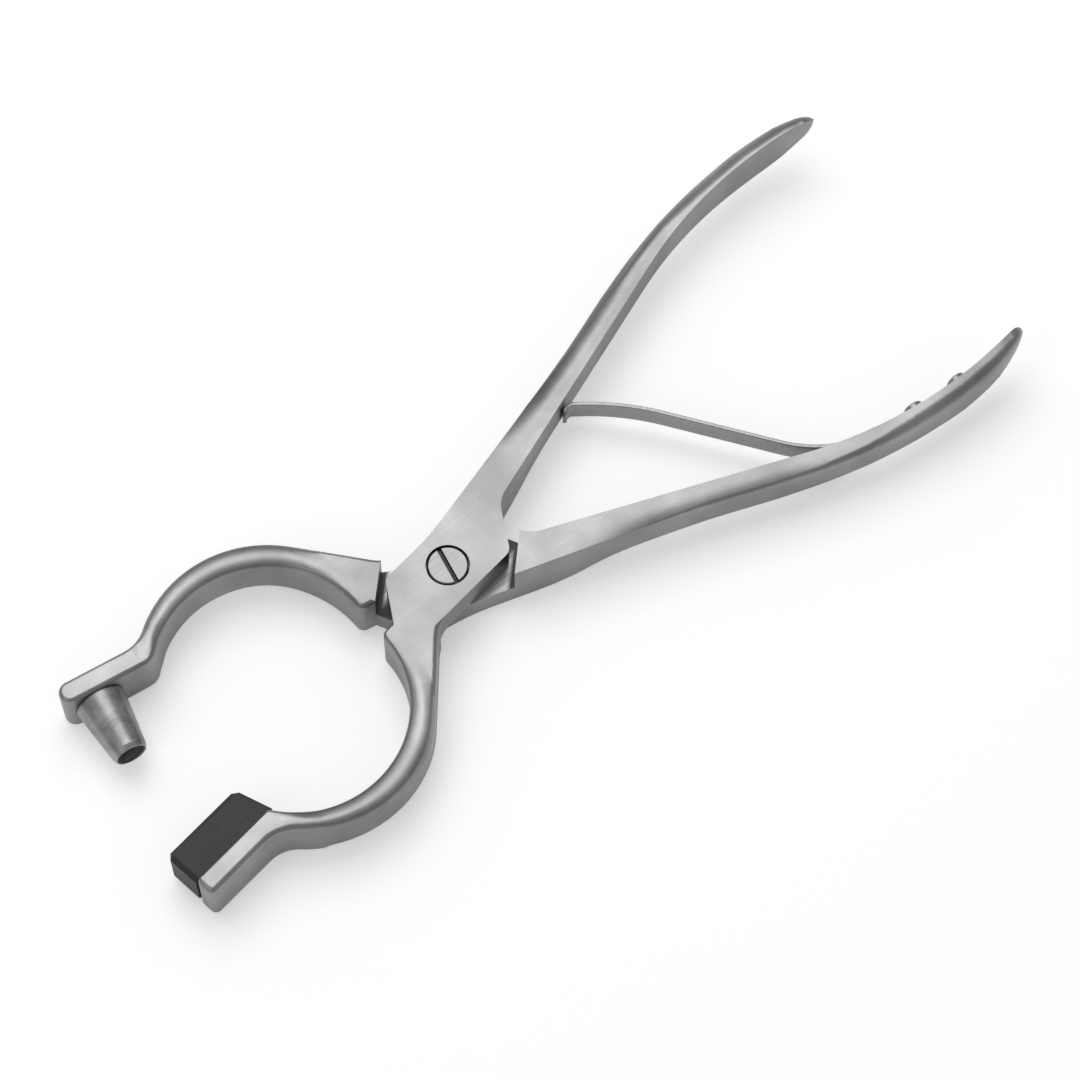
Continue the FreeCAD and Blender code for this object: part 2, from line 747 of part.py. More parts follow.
def cut_lap(body, side, lift, length):
    """Halves the joint between the two slanted steps."""
    reach = dim("lap_reach")
    span = dim("plate_half_width") * 2
    corners = []
    for across, along in ((1, -1), (1, 1), (-1, 1), (-1, -1)):
        x = lap_cos * reach * across - lap_sin * span * along
        y = lap_sin * reach * across + lap_cos * span * along
        corners.append(((x, y), None))
    sketch = new_sketch(body, body.Name + "_lap", "XY_Plane", lift)
    draw_loop(sketch, mirrored(corners, side))
    return add_pocket(body, body.Name + "_lap_cut", sketch, length)


bow_inside = (hollow_x, dim("bow_inner_y"), hollow_radius)
bow_outside = (bow_x, -dim("bow_outer_y"), dim("bow_outer_radius"))
anvil_lever = make_lever(
    "anvil_lever",
    1,
    holder_path(),
    [bow_inside + (dim("inner_round"),), bow_outside + (dim("edge_round"),)],
)
cut_lap(anvil_lever, 1, lap_level + dim("lap_play"), lap_level + dim("lap_play"))
bore = new_sketch(anvil_lever, "anvil_lever_bore", "XY_Plane")
draw_circle(bore, dim("screw_shank") / 2 + dim("running_fit"))
add_pocket(anvil_lever, "anvil_lever_bore_cut", bore)
sink = new_sketch(anvil_lever, "anvil_lever_sink", "XY_Plane", depth)
draw_circle(sink, dim("screw_head") / 2 + dim("head_gap"))
add_pocket(anvil_lever, "anvil_lever_sink_cut", sink, dim("screw_head_height") + dim("lap_play"))
place(anvil_lever, half_opening)

punch_lever = make_lever(
    "punch_lever", -1, punch_bar_path(), [bow_outside + (dim("bar_round"),)]
)
cut_lap(punch_lever, -1, depth, dim("upper_plate"))
bore = new_sketch(punch_lever, "punch_lever_bore", "XY_Plane")
draw_circle(bore, dim("screw_thread") / 2)
add_pocket(punch_lever, "punch_lever_bore_cut", bore)
seat = new_sketch(punch_lever, "punch_lever_seat", "XZ_Plane")
draw_circle(seat, dim("punch_spigot") / 2, (-punch_place, middle))
add_pocket(punch_lever, "punch_lever_seat_cut", seat)

# The two spring screws stand square on the palm side of the grip, their rims on the leaf
palm_centre = (crown_x, dim("palm_radius") - dim("palm_crown"), dim("spring_level"))
SPRING_SCREWS = (("near", dim("near_screw_angle")), ("far", dim("far_screw_angle")))
leaf_face = dim("palm_radius") - dim("spring_thickness")
screw_rim = dim("spring_screw_head") / 2
screw_seat = root(leaf_face * leaf_face - screw_rim * screw_rim)
screw_top = screw_seat - dim("spring_screw_height")
screw_end = dim("palm_radius") + dim("spring_screw_bite")
screw_core = dim("spring_screw_shank") / 2
for end, past in SPRING_SCREWS:
    turned_profile(
        punch_lever,
        "punch_lever_hole_" + end,
        "Groove",
        rectangle(screw_top, screw_end, screw_core),
        palm_centre,
        past - right_angle,
    )
place(punch_lever, -half_opening)

# Pivot screw: slotted head sunk in the upper plate, shoulder on the lower plate, thread below
pivot_screw = new_body("pivot_screw")
section = new_sketch(pivot_screw, "pivot_screw_section", "XZ_Plane")
head_under = depth - dim("screw_head_height")
draw_loop(
    section,
    [
        ((zero, zero), None),
        ((dim("screw_thread") / 2, zero), None),
        ((dim("screw_thread") / 2, lap_level), None),
        ((dim("screw_shank") / 2, lap_level), None),
        ((dim("screw_shank") / 2, head_under), None),
        ((dim("screw_head") / 2, head_under), None),
        ((dim("screw_head") / 2, depth - dim("edge_break")), None),
        ((dim("screw_head") / 2 - dim("edge_break"), depth), None),
        ((zero, depth), None),
    ],
)
turned = pivot_screw.newObject("PartDesign::Revolution", "pivot_screw_turned")
turned.Profile = section
turned.ReferenceAxis = (section, ["V_Axis"])
slot = new_sketch(pivot_screw, "pivot_screw_slot", "XY_Plane", depth)
slot_reach = dim("screw_head")
slot_half = dim("screw_slot") / 2
draw_loop(
    slot,
    [
        ((-slot_reach, -slot_half), None),
        ((slot_reach, -slot_half), None),
        ((slot_reach, slot_half), None),
        ((-slot_reach, slot_half), None),
    ],
)
add_pocket(pivot_screw, "pivot_screw_slot_cut", slot, dim("screw_slot_depth"))
place(pivot_screw, dim("screw_slot_angle"))

# Punch: hollow tapered tube with a spigot through the bar, mouth just short of the pad
punch_tube = new_body("punch_tube")
mouth = dim("punch_stop") - dim("closing_line")
seat_y = dim("bar_face")
spigot_end = dim("bar_face") + dim("bar_thickness")
section = new_sketch(punch_tube, "punch_tube_section", "XY_Plane")
draw_loop(
    section,
    [
        ((dim("punch_bore") / 2, spigot_end), None),
        ((dim("punch_bore") / 2, mouth), None),
        ((dim("punch_mouth") / 2, mouth), None),
        ((dim("punch_shoulder") / 2, mouth + dim("punch_land")), None),
        ((dim("punch_base") / 2, seat_y), None),
        ((dim("punch_spigot") / 2, seat_y), None),
        ((dim("punch_spigot") / 2, spigot_end), None),
    ],
)
turned = punch_tube.newObject("PartDesign::Revolution", "punch_tube_turned")
turned.Profile = section
turned.ReferenceAxis = (section, ["V_Axis"])
place(punch_tube, -half_opening, (-punch_place, zero, middle))

# Pad: bevelled block on the flat holder
anvil_pad = new_body("anvil_pad")
block = new_sketch(anvil_pad, "anvil_pad_block", "XY_Plane", middle - dim("pad_depth") / 2)
pad_end = dim("pad_length") - dim("pad_reach")
draw_loop(
    block,
    [
        ((-dim("pad_reach"), -holder_face), None),
        ((pad_end + dim("pad_slant"), -holder_face), None),
        ((pad_end, -dim("closing_line")), None),
        ((-dim("pad_reach"), -dim("closing_line")), None),
    ],
)
blank = add_pad(anvil_pad, "anvil_pad_blank", block, dim("pad_depth"))
doc.recompute()
bevel = anvil_pad.newObject("PartDesign::Chamfer", "anvil_pad_bevel")
bevel.Base = (blank, edges_off_plane(blank.Shape, -holder_face.value))
bevel.setExpression("Size", dim("pad_bevel").text)
anvil_pad.Tip = bevel
place(anvil_pad, half_opening)


def leaf_path():
    """Outline of the bent leaf, about the centre of the palm arc.

    The middle of the leaf is followed by its heading, the slope that it has towards the
    other handle. Left of the heading is the side away from the screwed handle.
    """
    half = dim("spring_thickness") / 2
    lift = dim("spring_lift_angle")
    slope = dim("spring_steep_angle")
    last = dim("spring_end_angle")
    lying = -(slant + dim("jaw_angle"))
    curled = lying - dim("spring_curl_angle")
    tail = dim("palm_radius") - half
    bend = dim("spring_bend")
    back = dim("spring_back")
    curl = dim("spring_curl")

    def left(angle):
        return sin(angle), -cos(angle)

    def ahead(angle):
        return -cos(angle), -sin(angle)

    def step(point, length, direction):
        return point[0] + length * direction[0], point[1] + length * direction[1]

    def dot(first, second):
        return first[0] * second[0] + first[1] * second[1]

    tail_end = -dim("spring_tail_angle")
    start = step((zero, zero), -tail, left(tail_end))
    leave = step((zero, zero), -tail, left(lift))
    steep = step(step(leave, bend, left(lift)), -bend, left(slope))
    # The straight stretch is as long as the curl needs to lie on the other handle
    palm_line = palm_y * cos(slant) - palm_x * sin(slant)
    centre = (crown_x, -palm_centre[1])
    short = step(step(steep, -back, left(slope)), back - curl, left(last))
    ahead_of = palm_line - dim("spring_play") - curl - half - dot(left(lying), centre)
    straight = (ahead_of - dot(left(lying), short)) / dot(left(lying), ahead(slope))
    turn_back = step(steep, straight, ahead(slope))
    curl_centre = step(short, straight, ahead(slope))
    marks = [
        (start, tail_end, tail, 1),
        (leave, lift, bend, 1),
        (steep, slope, None, 0),
        (turn_back, slope, back, -1),
        (step(curl_centre, curl, left(last)), last, curl, -1),
        (step(curl_centre, curl, left(lying)), lying, curl, -1),
        (step(curl_centre, curl, left(curled)), curled, None, 0),
    ]
    near_side = []
    far_side = []
    for index, (point, angle, radius, turn) in enumerate(marks):
        right_bend = None
        left_bend = None
        if radius is not None:
            right_bend = (radius + turn * half, turn)
        if index > 0 and marks[index - 1][2] is not None:
            left_bend = (marks[index - 1][2] - marks[index - 1][3] * half, -marks[index - 1][3])
        near_side.append((step(point, -half, left(angle)), right_bend))
        far_side.append((step(point, half, left(angle)), left_bend))
    return near_side + far_side[::-1]


# Return spring: a flat leaf screwed along the lower grip, bent across to the other handle
return_spring = new_body("return_spring")
leaf = new_sketch(return_spring, "return_spring_leaf", "XY_Plane", -dim("spring_width") / 2)
draw_loop(leaf, mirrored(leaf_path(), -1))
add_pad(return_spring, "return_spring_strip", leaf, dim("spring_width"))
spring_screws = new_body("spring_screws")
for end, past in SPRING_SCREWS:
    turned_profile(
        return_spring,
        "return_spring_hole_" + end,
        "Groove",
        rectangle(screw_top, screw_end, screw_core),
        (zero, zero, zero),
        past - right_angle,
    )
    turned_profile(
        spring_screws,
        "spring_screw_" + end,
        "Revolution",
        [
            (screw_top, zero),
            (screw_top, screw_rim - dim("edge_break")),
            (screw_top + dim("edge_break"), screw_rim),
            (screw_seat, screw_rim),
            (screw_seat, screw_core),
            (screw_end, screw_core),
            (screw_end, zero),
        ],
        (zero, zero, zero),
        past - right_angle,
    )
place(return_spring, -half_opening, palm_centre)
place(spring_screws, -half_opening, palm_centre)

doc.recompute()
for item in doc.Objects:
    if "Invalid" in item.State or "Error" in item.State:
        raise RuntimeError("not built: " + item.Label)
PIECES = [
    (anvil_lever, 1),
    (punch_lever, 1),
    (pivot_screw, 1),
    (punch_tube, 1),
    (anvil_pad, 1),
    (return_spring, 1),
    (spring_screws, 2),
]
for piece, count in PIECES:
    shape = piece.Shape
    if shape.isNull() or not shape.isValid() or len(shape.Solids) != count:
        raise RuntimeError("not sound: " + piece.Label)
    print(piece.Label, round(shape.Volume, 2))

os.makedirs("parts", exist_ok=True)
for piece, count in PIECES:
    piece.Shape.exportStep("parts/" + piece.Label + ".step")
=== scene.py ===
"""Looks of the nose ring pliers: satin forged levers, ground punch, dark pad, leaf spring."""
import math

import bmesh
import bpy
import numpy as np
from mathutils import Matrix, Vector


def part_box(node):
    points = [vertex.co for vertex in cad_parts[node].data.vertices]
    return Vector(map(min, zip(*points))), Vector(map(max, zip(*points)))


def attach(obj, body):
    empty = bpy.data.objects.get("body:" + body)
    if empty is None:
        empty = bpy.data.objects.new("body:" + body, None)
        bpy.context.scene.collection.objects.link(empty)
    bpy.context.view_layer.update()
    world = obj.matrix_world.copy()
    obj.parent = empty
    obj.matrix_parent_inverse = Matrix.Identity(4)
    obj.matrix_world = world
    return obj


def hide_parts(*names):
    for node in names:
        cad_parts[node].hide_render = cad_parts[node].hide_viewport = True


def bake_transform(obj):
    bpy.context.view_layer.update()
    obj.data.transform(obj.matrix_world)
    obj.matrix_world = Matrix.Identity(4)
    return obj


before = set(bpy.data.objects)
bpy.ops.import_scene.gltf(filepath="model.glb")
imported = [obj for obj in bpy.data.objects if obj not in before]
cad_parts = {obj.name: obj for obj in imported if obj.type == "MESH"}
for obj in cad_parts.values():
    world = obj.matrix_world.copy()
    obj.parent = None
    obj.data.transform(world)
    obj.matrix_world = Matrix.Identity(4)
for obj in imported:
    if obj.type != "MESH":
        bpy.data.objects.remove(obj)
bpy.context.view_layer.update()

bl_info = {
    "name": "Nose Ring Pliers",
    "version": (1, 0, 0),
    "blender": (4, 5, 0),
    "location": "View3D > Sidebar > Pliers",
    "description": "Finishes the levers, punch, pad, screws and return spring of nose ring pliers",
    "category": "Object",
}

MM = 0.001

# Places on a lever are taken with the tool closed and the pivot at 0. x runs along the tool,
# below 0 on the jaws, and y runs from its axis to the side of the lever's own handle.

# Arcs of the bow: x and y of the centre, and the radius
BOW_INNER = (-50.9 * MM, 1.5 * MM, 26.8 * MM)
BOW_OUTER = (-50.0 * MM, -1.9 * MM, 29.8 * MM)
# Stretches in x over which a rounding comes in and goes out
BOW_COMES = (-76 * MM, -70 * MM)
BOW_GOES = (-30 * MM, -21 * MM)
NECK_COMES = (26 * MM, 50 * MM)
NECK_GOES = (84 * MM, 114 * MM)
# Back of the handle: y = BACK_Y + BACK_SLOPE * d + BACK_CURVE * d * d, with d = x - BACK_X
BACK_X = 20 * MM
BACK_Y = 11.28 * MM
BACK_SLOPE = 0.148
BACK_CURVE = 0.6

# Underside of the bow beside the jaw, each as its start in x and its length
UNDER_CURVE = (-80 * MM, 26 * MM)
UNDER_RAMP = (-71.5 * MM, 6 * MM)
# The curve stops at this x, and fades out upwards to this height
UNDER_END = -50 * MM
UNDER_HEIGHT = 7 * MM

# Cuts across a lever: stretch beside the jaw, distance between cuts, number in the tip
JAW_CUTS = (-84 * MM, -48 * MM)
CUT_STEP = 1.5 * MM
TIP_CUTS = 9
CUT_TOLERANCE = 0.0005 * MM
MERGE_DISTANCE = 0.001 * MM
# Points this close to a cut belong to its row
ROW_REACH = 0.01 * MM
# Distance between the values that are averaged along the grip
FINE_STEP = 0.5 * MM
# Stretch over which the crest of the grip moves to its place
CREST_RAMP = 30 * MM
# Part of the quarter circle that the tip follows, and the share of its width that stays
TIP_PART = 0.985
TIP_WIDTH = 0.15

# Punch: x and z of its axis, y of its seat, and the edge of its bore
PUNCH_X = -87.9 * MM
PUNCH_Z = 7.25 * MM
SEAT_Y = -14.2 * MM
BORE_EDGE = (3.65 * MM, 3.75 * MM)

# Height of the skin's relief, grey of painted shade, greys of the seat's line and the bore's rings
SKIN_DEPTH = 0.0264 * MM
PAINTED_SHADE_GREY = 0.04
SEAT_LINE = 0.03
BORE_GREYS = (0.25, 0.55)

# Floor: half its edge, its distance below the tool, and its two greys
FLOOR_REACH = 6.0
FLOOR_GAP = 0.2 * MM
FLOOR_GREYS = (0.88, 0.90)
# Light: shares of its own white that the floor shows to the camera and to mirroring steel, and
# the strength of the room
GLOW_SEEN = 0.39
GLOW_MIRRORED = 0.2
ROOM = 0.36
# Lamps: name, metres from the aim away from the camera, to the right and up, edge, watts
LAMPS = [
    ("softbox", 0.55, -0.25, 1.2, 1.1, 7.7),
    ("side_fill", -0.9, -0.9, 1.1, 0.8, 1.5),
]


class Value:
    """An output socket of a material, with the arithmetic that adds its Math nodes."""

    def __init__(self, graph, socket):
        self.graph = graph
        self.socket = socket

    def __add__(self, other):
        return self.graph.number("ADD", self, other)

    def __radd__(self, other):
        return self.graph.number("ADD", other, self)

    def __sub__(self, other):
        return self.graph.number("SUBTRACT", self, other)

    def __rsub__(self, other):
        return self.graph.number("SUBTRACT", other, self)

    def __mul__(self, other):
        return self.graph.number("MULTIPLY", self, other)

    def __abs__(self):
        return self.graph.number("ABSOLUTE", self)

    def between(self, low, high):
        """0 below low, 1 above high, and a straight ramp from one to the other."""
        return self.graph.add(
            "ShaderNodeMapRange", {"clamp": True}, {0: self, 1: low, 2: high, 3: 0.0, 4: 1.0}
        )


class Finish:
    """A material that is written as expressions on its sockets."""

    def __init__(self, name):
        self.material = bpy.data.materials.new(name)
        self.material.use_nodes = True
        self.tree = self.material.node_tree
        self.tree.nodes.clear()
        self.place = self.add("ShaderNodeTexCoord", output="Object")

    def add(self, kind, settings=None, inputs=None, output=0):
        """A node of any type: its settings first, then the values or links of its sockets."""
        node = self.tree.nodes.new(kind)
        for name, setting in (settings or {}).items():
            setattr(node, name, setting)
        for key, given in (inputs or {}).items():
            if isinstance(given, Value):
                self.tree.links.new(given.socket, node.inputs[key])
            else:
                node.inputs[key].default_value = given
        return Value(self, node.outputs[output])

    def number(self, operation, first, second=0.0):
        return self.add("ShaderNodeMath", {"operation": operation}, {0: first, 1: second})

    def larger(self, first, second):
        return self.number("MAXIMUM", first, second)

    def axis(self, which):
        return self.add("ShaderNodeSeparateXYZ", None, {0: self.place}, output=which)

    def moved(self, turn, stretch):
        """Object coordinates, stretched and turned about the upright axis."""
        return self.add(
            "ShaderNodeMapping",
            {"vector_type": "POINT"},
            {"Vector": self.place, "Rotation": (0, 0, turn), "Scale": stretch},
        )

    def noise(self, vector, scale, detail=3.0, rough=0.5):
        return self.add(
            "ShaderNodeTexNoise",
            {"noise_dimensions": "3D"},
            {"Vector": vector, "Scale": scale, "Detail": detail, "Roughness": rough},
        )

    def blend(self, share, first, second):
        """One colour over another by a share from 0 to 1."""
        return self.add(
            "ShaderNodeMix",
            {"data_type": "RGBA", "blend_type": "MIX"},
            {0: share, 6: first, 7: second},
            output=2,
        )

    def bump(self, height, strength, distance):
        return self.add(
            "ShaderNodeBump", None, {"Height": height, "Strength": strength, "Distance": distance}
        )

    def close(self, shader):
        """Ends the material in a shader."""
        output = self.tree.nodes.new("ShaderNodeOutputMaterial")
        self.tree.links.new(shader.socket, output.inputs["Surface"])
        return self.material

    def surface(self, **inputs):
        """The Principled surface, its socket names given with underscores for blanks."""
        named = {name.replace("_", " "): value for name, value in inputs.items()}
        return self.close(self.add("ShaderNodeBsdfPrincipled", None, named))


def tone(grey, warm=0.0):
    """A grey with a trace of warmth, as a colour."""
    return (grey * (1 + warm), grey, grey * (1 - warm), 1.0)


def lever_axes(finish, side, grip):
    """Place on a lever with the tool closed: x along the tool, y from its axis to the handle."""
    turn_cos, turn_sin = math.cos(grip.swing), side * math.sin(grip.swing)
    x = finish.axis("X") * turn_cos + finish.axis("Y") * turn_sin
    y = (finish.axis("Y") * turn_cos - finish.axis("X") * turn_sin) * float(side)
    return x, y


def rounding(finish, x, y, grip, neck_depth):
    """Fall of a lever's top towards its edges: depth times (1 - d / width) squared.

    On the bow, d is the distance from the inner or the outer arc. On the neck, it is the
    distance from the back of the handle, a parabola in x. The fall fades out at both ends.
    """

    def from_centre(arc):
        across, along = x - arc[0], y - arc[1]
        return finish.number("SQRT", across * across + along * along)

    inner = from_centre(BOW_INNER) - BOW_INNER[2]
    outer = BOW_OUTER[2] - from_centre(BOW_OUTER)
    fall = 0.0
    for distance in (inner, outer):
        share = 1.0 - distance.between(0.0, grip.edge_width)
        fall = fall + share * share
    ends = x.between(*BOW_COMES) * (1.0 - x.between(*BOW_GOES))
    ahead = x - BACK_X
    back = ahead * ahead * BACK_CURVE + ahead * BACK_SLOPE + BACK_Y
    share = 1.0 - (back - y).between(0.0, grip.neck_width)
    neck = share * share * x.between(*NECK_COMES) * (1.0 - x.between(*NECK_GOES))
    return fall * ends * -grip.edge_depth - neck * neck_depth


def lap_marks_and_shade(finish, x, y, grip):
    """Shares of ground marks and of painted shade on the lap floor, found by its height.

    The floor lies between the two slanted steps. Its open end is ground, and painted shade
    darkens its closed end and the strip beside the steps.
    """
    floor = 1.0 - abs(finish.axis("Z") - grip.lap_level).between(0.15 * MM, 0.3 * MM)
    slant = abs(x * math.cos(grip.lap_angle) + y * math.sin(grip.lap_angle))
    floor = floor * (1.0 - slant.between(grip.lap_reach, grip.lap_reach + 0.1 * MM))
    streaks = finish.noise(finish.moved(turn=0.65, stretch=(90, 1500, 900)), 1.0)
    open_end = (y * finish.number("SIGN", x)).between(1.0 * MM, 4.0 * MM)
    beside = slant.between(grip.lap_reach - 2.0 * MM, grip.lap_reach - 1.0 * MM)
    ground = floor * streaks.between(0.42, 0.6) * open_end
    # The second share is painted shade: darker in the closed end and beside the steps
    return ground, floor * finish.larger(1.0 - open_end, beside)


def satin_steel(name, look, grip, side, neck_depth, with_lap=False):
    """Tumbled and brushed stainless: soft mottling, fine lines along the tool, a peened skin."""
    finish = Finish(name)
    x, y = lever_axes(finish, side, grip)
    mottle = finish.noise(finish.place, 55.0)
    skin = finish.noise(finish.place, 420.0, detail=2.0)
    lines = finish.noise(
        finish.moved(turn=0, stretch=(70, 1900, 1900)), 1.0, detail=4.0, rough=0.6
    )
    cross = finish.noise(finish.moved(turn=0.9, stretch=(120, 2300, 2300)), 1.0, rough=0.6)
    scratch = lines.between(0.56, 0.72) * 0.6 + cross.between(0.62, 0.75) * 0.5
    shade = mottle.between(0.35, 0.7) * 0.75 + scratch * 0.2
    rough = look.satin_roughness + skin * 0.07 - scratch * 0.05
    if with_lap:
        ground, lap_shade = lap_marks_and_shade(finish, x, y, grip)
        shade = shade + ground * 0.7
        rough = rough - ground * 0.05
    base = finish.blend(shade, tone(look.steel_dark), tone(look.steel_light, 0.004))
    # Painted shade on the lap floor, in its closed end and beside its steps
    if with_lap:
        base = finish.blend(lap_shade, base, tone(PAINTED_SHADE_GREY))
    skin_height = skin * 0.6 + lines * 0.35 + mottle * 0.5
    relief = skin_height * SKIN_DEPTH + rounding(finish, x, y, grip, neck_depth)
    return finish.surface(
        Base_Color=base,
        Metallic=1.0,
        Roughness=rough,
        Normal=finish.bump(relief, 1.0, 1.0),
    )


def turned_steel(name, look, turn, light=1.0, slot_level=None):
    """Ground and lightly polished steel with marks in one direction, painted shade below
    slot_level.
    """
    finish = Finish(name)
    marks = finish.noise(finish.moved(turn=turn, stretch=(90, 2600, 2600)), 1.0, rough=0.6)
    cloud = finish.noise(finish.place, 150.0, detail=2.0)
    shade = marks.between(0.35, 0.7) * 0.6 + cloud * 0.4
    base = finish.blend(shade, tone(look.steel_dark * light), tone(look.steel_light * light))
    if slot_level is not None:
        # Painted shade in the screw's slot, below slot_level
        slot_shade = 1.0 - finish.axis("Z").between(slot_level - 0.3 * MM, slot_level)
        base = finish.blend(slot_shade, base, tone(PAINTED_SHADE_GREY))
    return finish.surface(
        Base_Color=base,
        Metallic=1.0,
        Roughness=look.satin_roughness - 0.04 + marks * 0.12,
        Normal=finish.bump(marks, 0.2, 0.08 * MM),
    )


def punch_steel(name, look, grip):
    """Turned steel with a dark line at the seat and lighter rings in the bore."""
    finish = Finish(name)
    x, y = lever_axes(finish, -1, grip)
    rings = finish.noise(finish.moved(turn=grip.swing, stretch=(60, 1800, 60)), 1.0)
    cloud = finish.noise(finish.place, 260.0, rough=0.6)
    shade = rings.between(0.35, 0.7) * 0.15 + cloud.between(0.3, 0.7) * 0.85
    base = finish.blend(shade, tone(look.steel_dark * 0.9), tone(look.steel_light * 1.1))
    across, height = x - PUNCH_X, finish.axis("Z") - PUNCH_Z
    radius = finish.number("SQRT", across * across + height * height)
    bore = 1.0 - radius.between(*BORE_EDGE)
    inside = finish.blend(rings.between(0.4, 0.6), tone(BORE_GREYS[0]), tone(BORE_GREYS[1]))
    base = finish.blend(bore, base, inside)
    seat = 1.0 - abs(y - SEAT_Y).between(0.15 * MM, 0.45 * MM)
    base = finish.blend(seat * 0.9, base, tone(SEAT_LINE))
    return finish.surface(
        Base_Color=base,
        Metallic=1.0,
        Roughness=look.satin_roughness + cloud * 0.1 + bore * 0.15,
        Normal=finish.bump(rings * 0.4 + cloud, 0.3, 0.12 * MM),
    )


def pad_finish(name, look):
    """Dense dark plastic with a matt cut face and fine pores."""
    finish = Finish(name)
    pores = finish.noise(finish.place, 1300.0, detail=2.0)
    cloud = finish.noise(finish.place, 90.0)
    base = finish.blend(
        cloud.between(0.3, 0.75),
        tuple(look.pad_colour) + (1.0,),
        tuple(1.35 * part for part in look.pad_colour) + (1.0,),
    )
    return finish.surface(
        Base_Color=base,
        Roughness=0.42 + pores * 0.16,
        Normal=finish.bump(pores, 0.25, 0.1 * MM),
    )


def dress(node, material):
    """Gives a carried-over node its one finish."""
    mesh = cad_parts[node].data
    mesh.materials.clear()
    mesh.materials.append(material)
    mesh.polygons.foreach_set("material_index", np.zeros(len(mesh.polygons), np.int32))


def tube_mesh(name, rings):
    """A closed skin over equal rings: rings is an array of stations, points and coordinates.

    Each quad joins two neighbouring points of a ring to the same two of the next ring, and one
    face closes each end.
    """
    stations, around, _ = rings.shape
    index = np.arange(stations * around).reshape(stations, around)
    ahead = np.roll(index, -1, axis=1)
    quads = np.stack([index[:-1], ahead[:-1], ahead[1:], index[1:]], axis=-1).reshape(-1, 4)
    faces = quads.tolist() + [index[0][::-1].tolist(), index[-1].tolist()]
    mesh = bpy.data.meshes.new(name)
    mesh.from_pydata(rings.reshape(-1, 3).tolist(), [], faces)
    mesh.polygons.foreach_set("use_smooth", np.ones(len(mesh.polygons), bool))
    mesh.update()
    piece = bpy.data.objects.new(name, mesh)
    bpy.context.scene.collection.objects.link(piece)
    return piece


def averaged(values, steps):
    """A row of values, each the bell-weighted mean of its neighbours, with both ends kept.

    The row is first carried on past each end by its own image turned about that end.
    """
    weights = np.exp(-0.5 * np.linspace(-2.5, 2.5, 2 * steps + 1) ** 2)
    before = 2 * values[0] - values[steps:0:-1]
    after = 2 * values[-1] - values[-2:-steps - 2:-1]
    row = np.concatenate([before, values, after])
    return np.convolve(row, weights / weights.sum(), "valid")


def smooth_step(values, start, length):
    """0 up to start, 1 from start plus length, and 3 t squared less 2 t cubed between them."""
    share = np.clip((values - start) / length, 0, 1)
    return share * share * (3 - 2 * share)


def cut_copy(node, along, stations):
    """A copy of a node's mesh with doubled points merged, cut across the lever at stations."""
    build = bmesh.new()
    build.from_mesh(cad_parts[node].data)
    bmesh.ops.remove_doubles(build, verts=build.verts, dist=MERGE_DISTANCE)
    for station in stations:
        bmesh.ops.bisect_plane(
            build, geom=build.verts[:] + build.edges[:] + build.faces[:], dist=CUT_TOLERANCE,
            plane_co=along * station, plane_no=along,
        )
    mesh = bpy.data.meshes.new(node + "_forging")
    build.to_mesh(mesh)
    build.free()
    # The copied corner normals belong to the uncut triangles
    mesh.attributes.remove(mesh.attributes["custom_normal"])
    return mesh


def smooth_grip(x, y, z, stations, crown, grip):
    """New y and z of a lever's points, with the facets of its grip smoothed away.

    The palm edge, outer edge, underside and top are read at the stations, the last three are
    averaged along the handle, and each point keeps its share between them. The share between
    the edges is raised to the power crown, which moves the crest. Over the tip, the section
    shrinks by a quarter circle.
    """
    rows = [np.abs(x - station) < ROW_REACH for station in stations]
    palm, outer, floor, top = (
        np.array([pick(values[row]) for row in rows])
        for pick, values in ((np.min, y), (np.max, y), (np.min, z), (np.max, z))
    )
    fine = np.append(np.arange(grip.start, grip.reach, FINE_STEP), grip.reach)
    steps = int(grip.blend / FINE_STEP)

    def even(values):
        return np.interp(x, fine, averaged(np.interp(fine, stations, values), steps))

    def drawn(values):
        return np.interp(x, stations, values)

    edge, back = drawn(palm), even(outer)
    across = (y - edge) / (drawn(outer) - edge)
    crest = 1 + (crown - 1) * np.clip((x - grip.start) / CREST_RAMP, 0, 1)
    across = np.clip(across, 0, 1) ** crest
    upright = (z - drawn(floor)) / (drawn(top) - drawn(floor))
    past = np.clip((x - (grip.reach - grip.tip_round)) / grip.tip_round, 0, TIP_PART)
    shrink = np.sqrt(1 - past ** 2)
    low, high = even(floor), even(top)
    centre = (low + high) / 2
    width = (back - edge) * (TIP_WIDTH + (1 - TIP_WIDTH) * shrink)
    new_y = (edge + back) / 2 + width * (across - 0.5)
    new_z = centre + (low + upright * (high - low) - centre) * shrink
    inside = x > grip.start
    return np.where(inside, new_y, y), np.where(inside, new_z, z)


def curve_underside(x, z, grip):
    """New z of the bow's points, with its underside in one long curve down to the jaw.

    The lift is the bow's floor times the smooth step of the curve less that of the ramp in the
    CAD, and it fades out upwards.
    """
    lift = (smooth_step(x, *UNDER_CURVE) - smooth_step(x, *UNDER_RAMP)) * grip.bow_floor
    return z + lift * np.clip(1 - z / UNDER_HEIGHT, 0, 1) * (x < UNDER_END)


